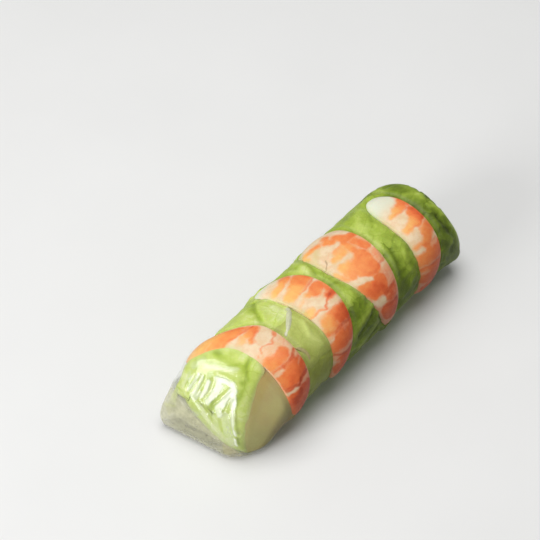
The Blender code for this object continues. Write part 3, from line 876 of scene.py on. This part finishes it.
def leaf_piece(name, finish, span, left, right, rays=wrap_rays, depth=LEAF_DEPTH, over=None,
               tone=0.5, khaki=0.0, seed=0, smooth=False, wave=1.0, spots=(), folds=(),
               crumple=0.3, grid=LEAF_GRID):
    """A leaf laid just under the film, dipping where a prawn lies on it."""
    mesh = sheet(*grid)
    u, v = coordinates(mesh)[:, :2].T
    b = mix(*span, (v + 1) / 2)
    left, right = [edge(b) if callable(edge) else edge for edge in (left, right)]
    a = mix(left, right, (u + 1) / 2)
    a_mm = DEGREE if rays is wrap_rays else 1.0
    edge_place = np.stack([u * 3, b / 5, 0 * u], 1)
    a = a + wave / a_mm * waves(edge_place, 1, seed) * np.abs(u) ** 4
    b = b + wave * waves(np.stack([a * a_mm / 5, v * 3, 0 * u], 1), 1, seed + 1) * np.abs(v) ** 4
    start, direction = rays(a, b)
    points = surface_along(lambda p: roll(p) + depth, start, direction)
    turn, y = turn_and_y(points)
    flat = 0.35 if smooth else 1.0
    swell = 0.22 * MM * flat * (waves(points, 7 * MM, seed) + 0.5 * waves(points, 3 * MM, seed + 2))
    ridges = 1 - 2.2 * np.abs(waves(points, 4.5 * MM, seed + 4)) ** 0.8
    fine_ridges = 1 - 2.2 * np.abs(waves(points, 2.2 * MM, seed + 5)) ** 0.8
    swell += crumple * MM * flat * (0.55 * ridges + 0.25 * fine_ridges)
    shade = crumple * flat * (0.16 * ridges + 0.08 * fine_ridges)
    for height, width, *path in folds:
        away = distance_to_path(a * a_mm, b, [(pa * a_mm, pb) for pa, pb in path])
        mask = np.exp(-(away / width) ** 2)
        swell += height * MM * mask
        shade += 0.35 * height * mask
    level = np.maximum(depth - swell, OVER_DEPTH)
    level += 0.5 * MM * (np.abs(u) ** 12 + np.abs(v) ** 12)
    level += prawn_sink(turn, y, over)
    points = kept_in(surface_along(lambda p: roll(p) + level, start, direction), 0.8 * OVER_DEPTH)
    place(mesh, points)
    tones = tone + shade + 0.05 * waves(points, 5 * MM, seed + 3)
    for spot_a, spot_b, wide, tall, more in spots:
        tones += more * np.exp(-((a - spot_a) / wide) ** 2 - ((b - spot_b) / tall) ** 2)
    layer = mesh.loops.layers.uv.new("leaf")
    for face in mesh.faces:
        for loop in face.loops:
            at = loop.vert.index
            loop[layer].uv = (a[at] * a_mm, b[at])
    # how far each place takes the khaki tones, which are darker and browner than the green ones
    khaki_share = khaki(a, b) if callable(khaki) else np.full(len(u), khaki)
    return piece(name, mesh, finish, "lettuce", ["lettuce"], thickness=LEAF,
                 tone=tones, khaki=khaki_share)


def core_form(points):
    return np.maximum(roll(points) + CORE_DEPTH, past_fold(points) + 1.2 * MM)


def lettuce_core(finish):
    """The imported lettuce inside, which the leaves lie over."""
    mesh = ball(*CORE_GRID)
    share, turn = share_and_turn(mesh)
    points = surface_along(core_form, *capsule_rays(share, turn))
    ruffle = 0.5 * waves(points, 5 * MM, 40) + 0.3 * waves(points, 2.2 * MM, 41)
    place(mesh, points + outward(points) * (ruffle[:, None] - 0.2) * MM)
    layer = mesh.loops.layers.uv.new("leaf")
    for face in mesh.faces:
        for loop in face.loops:
            at = loop.vert.index
            loop[layer].uv = (turn[at] * HALF_HEIGHT / MM, points[at, 1] / MM)
    end = ramp(past_fold(points), -4 * MM, -1.5 * MM)
    return piece("lettuce_core", mesh, finish, "lettuce", ["lettuce"],
                 tone=0.25 + 0.2 * ruffle + 0.35 * end, khaki=0.8 * end)


# ---------------------------------------------------------------- strands
STRANDS = {
    "bean_sprout": dict(ends=((-7, -16.1), (19, -25.5)), wide=1.2, deep=0.5,
                        color=(0.66, 0.67, 0.42)),
    "rice_noodle": dict(ends=((35, -26.5), (56, -24.9)), wide=0.65, deep=0.45,
                        color=(0.54, 0.46, 0.18)),
}
STRAND_BOW = 1.2 * MM
STRAND_BLUNTNESS = 4


def strand_finish(name, color):
    f = Finish(name)
    place = f.place_mm()
    fibres = f.noise(place, 2.2, 3, stretch=(1, 0.3, 1))
    shown = f.blend(fibres.step(0.3, 0.75), tuple(0.8 * c for c in color), color)
    shader = f.node("BsdfPrincipled", (),
                    **{"Base Color": shown, "Roughness": fibres * 0.2 + 0.25,
                       "Subsurface Weight": 0.2, "Subsurface Radius": (1, 1, 0.6),
                       "Subsurface Scale": 0.001, "Coat Weight": 0.2,
                       "Normal": f.bump(fibres, 0.06 * MM)})
    return f.surface(shader)


def strand_piece(name, ends, wide, deep, color):
    """A short round strand, bowed a little, lying on the leaves."""
    (turn_a, y_a), (turn_b, y_b) = ends
    run = Vector((math.radians(turn_b - turn_a) * HALF_HEIGHT, (y_b - y_a) * MM)).normalized()
    mesh = ball(*STRAND_GRID)
    share, phi = share_and_turn(mesh)
    s = (1 - np.cos(math.pi * share)) / 2
    body = blunt_ends(s, STRAND_BLUNTNESS)
    across = wide * MM * body * np.cos(phi)
    turn = np.radians(mix(turn_a, turn_b, s)) - run.y * across / HALF_HEIGHT
    y = mix(y_a, y_b, s) * MM + STRAND_BOW * (1 - (2 * s - 1) ** 2) + run.x * across
    depth = FILM + 0.12 * MM + deep * MM * (1 - body * np.sin(phi))
    start, direction = wrap_rays(np.degrees(turn), y / MM)
    place(mesh, surface_along(lambda p: roll(p) + depth, start, direction))
    return piece(name + "_look", mesh, strand_finish(name, color), "pale_strand", [name])


# ---------------------------------------------------------------- film
# the film's own folds on the folded end: height and width in mm, then places (a, b) on its face
FILM_FOLDS = (
    (0.28, 0.60, (-11.2, 0.8), (-12.2, -3), (-12.6, -7)),
    (0.24, 0.50, (-9.0, 1.2), (-9.9, -3), (-10.2, -7.5)),
    (0.28, 0.60, (-6.6, 1.0), (-6.9, -3), (-7.4, -6.5)),
    (-0.25, 0.7, (-4.0, 1.8), (-3.6, -2), (-4.6, -6.5)),
    (-0.35, 0.60, (2.6, 1.4), (0.6, -3), (-1.2, -6.5), (-2.2, -10)),
    (0.28, 0.60, (4.0, -1.5), (3.8, -6), (2.0, -9.5)),
    (0.30, 0.8, (-4, 3.8), (0, 4.6), (4.4, 4.2)),
    (0.25, 0.7, (-13, 6), (-10.5, 2), (-9.5, -1)),
    (0.25, 0.7, (6.4, -2), (8.0, -8), (9.2, -12), (10.6, -17)),
    (0.22, 0.7, (-8, -9), (-3, -12), (4, -15.5)),
    (0.18, 0.6, (0, -9), (1.5, -13), (6, -17)),
)
# painted highlights: whitish streaks on the folded face that stand for the key light's shine on the
# creased film: how milky, width in mm, places
FILM_PAINTED_HIGHLIGHTS = (
    (0.62, 1.8, (-3.2, 2.2), (-0.5, 3.1), (2.5, 3.2), (4.2, 1.8)),
    (0.66, 1.7, (3.6, 1.6), (4.9, -1.0), (5.5, -3.6)),
    (0.60, 0.9, (5.6, -3.0), (6.4, -6.5), (7.6, -9.8), (8.8, -12.0)),
    (0.85, 0.8, (8.2, -10.8), (8.8, -12.2)),
    (0.80, 0.9, (9.0, -14.0), (9.8, -16.0)),
    (0.55, 2.6, (-2.2, 2.0), (-1.6, -0.5), (-2.0, -2.5)),
    (0.52, 1.9, (-1.0, 0.5), (-2.2, -3.5), (-3.4, -6.6)),
    (0.58, 2.2, (3.2, 1.0), (2.4, -2.0), (1.6, -5.0)),
    (0.50, 2.0, (1.6, -4.5), (0.8, -6.5), (2.2, -8.2)),
    (0.50, 1.5, (-5.4, 0.0), (-5.0, -3.0), (-5.8, -5.6)),
    (0.50, 1.1, (-8.0, 0.2), (-8.2, -3.5), (-9.2, -7.6)),
    (0.45, 1.6, (-6.8, -5.0), (-8.2, -8.0)),
    (0.55, 0.9, (-9.4, 0.4), (-10.4, -3.0), (-11.0, -6.6)),
    (0.40, 0.9, (-11.6, -1.6), (-12.4, -3.2)),
    (0.22, 2.4, (-10.0, 5.5), (-12.5, 2.0)),
    (0.22, 1.4, (-8.0, 4.5), (-3.5, 6.4), (1.8, 8.4)),
    (0.24, 1.2, (-12.8, -0.5), (-13.6, -6.0)),
    (0.26, 3.4, (4.5, -8.0), (6.0, -12.0), (8.0, -16.0)),
    (0.22, 2.2, (-6.0, -9.0), (-1.0, -13.0), (5.0, -16.5)),
    (0.20, 1.6, (0.5, -10.0), (3.0, -14.0), (7.0, -17.0)),
)
FOOT = np.array((12.2, -56.5, 6)) * MM          # where the ridge of the fold meets the ground
FACE_RIGHT = np.array((1, 0.067, 0))
FACE_UP = np.array((0, 0.66, 0.75))
LAP_TURN = math.radians(-125)
BELLY = 0.8                     # mm by which the film bellies out low on the folded face


def film_relief(points):
    """How far the film stands out from the roll's form, then how milky it is (its haze, with the
    painted highlights on the folded face), how glossy, and how far into the empty lip."""
    turn, y = turn_and_y(points)
    from_foot = points - FOOT
    a, b = from_foot @ FACE_RIGHT / MM, from_foot @ FACE_UP / MM
    angle, away = np.arctan2(b, -a), np.hypot(a, b)
    fan = np.stack([angle * 7, away / 9, 0 * a], 1)
    fine_fan = np.stack([angle * 16, away / 6, 0 * a], 1)
    left = ramp(-y, 42 * MM, 49 * MM) * ramp(a, 1.5, -1.5)
    lip = ramp(past_fold(points), -3.5 * MM, -0.3 * MM) * ramp(-y, 46 * MM, 52 * MM)
    facet = ramp(-y, 38 * MM, 41 * MM) * ramp(a, -0.5, 1.5)
    pleats = waves(fan, 1, 50)
    fine = waves(fine_fan, 1, 51)
    crumple = waves(points, 2.6 * MM, 52)
    relief = 0.07 * waves(points, 9 * MM, 53) + 0.03 * waves(points, 3 * MM, 54)
    face_a, face_b = FOLDED_FACE.places(points)
    for height, width, *path in FILM_FOLDS:
        away_from = distance_to_path(face_a, face_b, path)
        relief += left * height * np.exp(-(away_from / width) ** 2)
    relief += left * (0.10 * pleats + 0.04 * fine + 0.05 * crumple)
    relief += left * BELLY * np.exp(-((face_b + 9) / 7) ** 2)
    painted_highlight = np.zeros(len(y))
    wander = np.stack([face_a, face_b], 1) + 0.35 * np.stack([crumple, fine], 1)
    # painted highlights: whitish milk along these streaks stands for the key light's shine on the
    # folded face
    for strength, width, *path in FILM_PAINTED_HIGHLIGHTS:
        away_from = distance_to_path(wander[:, 0], wander[:, 1], path)
        painted_highlight = np.maximum(painted_highlight, strength * ramp(away_from, width / 2 + 0.45, width / 2 - 0.35))
    painted_highlight *= ramp(-y, 40 * MM, 43 * MM) * ramp(past_fold(points), 1.0 * MM, -1.0 * MM)
    relief += lip * (0.18 * pleats + 0.03 * fine + 0.10 * crumple)
    relief += lip * (0.03 * waves(points, 1.3 * MM, 55) + 0.45 * waves(points, 5.0 * MM, 58))
    swirl = np.stack([turn * 4 + y / MM * 0.12, y / MM / 9, 0 * y], 1)
    far = ramp(y, 52 * MM, 60 * MM)
    relief += far * (0.35 * waves(swirl, 0.5, 56) + 0.2 * waves(points, 3 * MM, 57))
    lap = ramp(turn, LAP_TURN - 0.02, LAP_TURN) * ramp(turn, LAP_TURN + 0.6, LAP_TURN + 0.1)
    relief += 0.22 * lap * ramp(np.abs(y), 46 * MM, 38 * MM)
    crests = mix(np.abs(fine), np.abs(pleats), 0.75 * lip) ** 0.5
    bridge = np.zeros(len(y))
    for prawn in PRAWNS.values():
        start, end = prawn_turns(prawn)
        s = np.clip((turn - start) / (end - start), *BULGE_SHARE)
        beside = (np.abs(y - prawn_middle(prawn, turn)) - prawn_half_width(prawn, s)) / MM
        ends = ramp(turn, start - 0.2, start) * ramp(turn, end + 0.2, end)
        bridge = np.maximum(bridge, np.exp(-((beside - 0.7) / 0.8) ** 2) * ends)
    lit = ramp(-turn, -1.3, -0.7)
    milk = 0.004 + 0.06 * bridge * lit + 0.05 * left * (1 - crests) + lip * (0.46 - 0.18 * crests)
    milk += 0.06 * facet + 0.15 * lap
    # the painted highlights join the film's haze here
    milk = np.maximum(milk, painted_highlight)
    gloss = 0.05 + 0.95 * left + 0.45 * lip + 0.05 * far
    return relief * MM, milk, gloss, lip


def film_ball(grid, depth, shown):
    """A closed skin on the roll's form, with no vertex below the floor. shown is 0 for a skin
    that adds no haze, painted highlight or gloss."""
    mesh = ball(*grid)
    points = surface_along(lambda p: roll(p) + depth, *capsule_rays(*share_and_turn(mesh)))
    relief, milk, gloss, lip = film_relief(points)
    calm = ramp(points[:, 2], 0.5 * MM, 3 * MM)
    points = points + outward(points) * (relief * calm)[:, None]
    points[:, 2] = np.maximum(points[:, 2], depth)
    place(mesh, points)
    note(mesh, milk=milk * shown, gloss=gloss * shown, tint=0.9 * lip)
    return mesh


def film_piece(finish):
    """The wrapper, a thin shell: its outer skin, and its inner one facing in."""
    outer = film_ball(FILM_GRID, 0.0, 1)
    inner = film_ball(FILM_INSIDE_GRID, FILM, 0)
    for mesh, sign in ((outer, 1), (inner, -1)):
        if mesh.calc_volume(signed=True) * sign < 0:
            bmesh.ops.reverse_faces(mesh, faces=mesh.faces)
    inside = bpy.data.meshes.new("inner skin")
    inner.to_mesh(inside)
    outer.from_mesh(inside)
    inner.free()
    bpy.data.meshes.remove(inside)
    return piece("rice_paper_film", outer, finish, "rice_paper", ["rice_paper"])


def film_finish():
    f = Finish("clear rice paper")
    place = f.place_mm()
    streaks = f.noise(place, 0.5, 4, stretch=(1, 0.35, 1))
    specks = f.noise(place, 2.5, 3)
    bump = f.bump(streaks * 0.6 + specks * 0.4, 0.10 * MM, 0.5)
    # this value holds the film's haze and the painted highlights, which both show its whitish body
    milk = f.value("milk") * (streaks * 1.2 + 0.4)
    color = f.blend(f.value("tint"), (0.88, 0.91, 0.78), (0.70, 0.68, 0.40))
    body = f.node("BsdfPrincipled", (), **{"Base Color": color, "Roughness": 0.5, "Normal": bump})
    clear = f.node("BsdfTransparent", (), Color=(1, 1, 1))
    film = f.node("MixShader", (), milk, clear, body)
    gloss = f.node("BsdfAnisotropic", (), Color=(1, 1, 1), Roughness=0.12, Normal=bump)
    mirror = f.node("Fresnel", (), IOR=1.45, Normal=bump)
    shine = mirror.math("MINIMUM", mirror, 0.14) * f.value("gloss")
    return f.surface(f.node("MixShader", (), shine, film, gloss))


def fold_sheet(name, finish, depth, seed):
    """A crumpled layer of film inside the empty lip of the folded end."""
    mesh = sheet(*FOLD_GRID)
    u, v = coordinates(mesh)[:, :2].T
    a, b = mix(-16.5, 13, (u + 1) / 2), mix(-7.5, 8.5, (v + 1) / 2)
    start, direction = LIP_FACE.rays(a, b)
    points = surface_along(lambda p: roll(p) + depth, start, direction)
    crumple = 0.5 * waves(points, 4.5 * MM, seed) + 0.12 * waves(points, 1.5 * MM, seed + 1)
    level = depth + np.abs(crumple) * MM
    place(mesh, surface_along(lambda p: roll(p) + level, start, direction))
    return piece(name, mesh, finish, "rice_paper", ["rice_paper"], thickness=0.12 * MM,
                 milk=0.35 + 0.5 * np.abs(crumple), gloss=0 * u + 0.3, tint=0 * u + 0.9)


# ---------------------------------------------------------------- stage
AZIMUTH, ELEVATION = math.radians(40.32), math.radians(50)
AIM = Vector((-26.55, 4.065, 15)) * MM
DISTANCE = 0.5
LENS = 93.2


def make_camera():
    look = Vector((-math.sin(AZIMUTH) * math.cos(ELEVATION),
                   math.cos(AZIMUTH) * math.cos(ELEVATION), -math.sin(ELEVATION)))
    data = bpy.data.cameras.new("camera")
    data.lens = LENS
    data.clip_start = 0.01
    camera = bpy.data.objects.new("camera", data)
    camera.location = AIM - look * DISTANCE
    camera.rotation_euler = look.to_track_quat("-Z", "Y").to_euler()
    bpy.context.collection.objects.link(camera)
    bpy.context.scene.camera = camera


def make_light(name, toward, distance, wide, tall, power):
    """A soft light that shines on the roll from a direction."""
    data = bpy.data.lights.new(name, "AREA")
    data.shape = "RECTANGLE"
    data.size, data.size_y, data.energy = wide, tall, power
    light = bpy.data.objects.new(name, data)
    light.location = Vector(toward).normalized() * distance
    light.rotation_euler = Vector(toward).to_track_quat("Z", "Y").to_euler()
    bpy.context.collection.objects.link(light)


def make_stage():
    f = Finish("pale table")
    grain = f.noise(f.place_mm(), 0.02, 3)
    tint = f.blend(grain, (0.80, 0.80, 0.79), (0.84, 0.84, 0.83))
    shader = f.node("BsdfPrincipled", (), **{"Base Color": tint, "Roughness": 0.8})
    mesh = bmesh.new()
    bmesh.ops.create_grid(mesh, x_segments=2, y_segments=2, size=1.5)
    bmesh.ops.translate(mesh, verts=mesh.verts, vec=(0, 0, -0.05 * MM))
    data = bpy.data.meshes.new("floor")
    mesh.to_mesh(data)
    mesh.free()
    data.materials.append(f.surface(shader))
    floor = bpy.data.objects.new("floor", data)
    bpy.context.collection.objects.link(floor)
    floor.visible_diffuse = False
    world = bpy.data.worlds.new("studio")
    world.use_nodes = True
    back = world.node_tree.nodes["Background"]
    back.inputs["Color"].default_value = (1, 1, 1, 1)
    back.inputs["Strength"].default_value = 0.2
    bpy.context.scene.world = world
    bpy.context.scene.view_settings.view_transform = "Standard"
    make_light("overhead", (-0.12, 0.05, 1), 0.9, 0.7, 0.7, 6.2)
    make_light("key", (-0.17, -0.93, 0.28), 0.8, 0.32, 0.5, 4.4)


# ---------------------------------------------------------------- the whole
def main():
    lettuce = lettuce_finish()
    lettuce_core(lettuce)
    for name, spec in LEAVES.items():
        leaf_piece(name, lettuce, **spec)
    flesh = prawn_finish()
    for seed, name in enumerate(PRAWNS):
        prawn_piece(name, 60 + 5 * seed, flesh)
    for name, spec in STRANDS.items():
        strand_piece(name, **spec)
    film = film_finish()
    film_piece(film)
    fold_sheet("film_fold_upper", film, 0.9 * MM, 90)
    fold_sheet("film_fold_lower", film, 2.0 * MM, 95)
    make_stage()
    make_camera()


main()
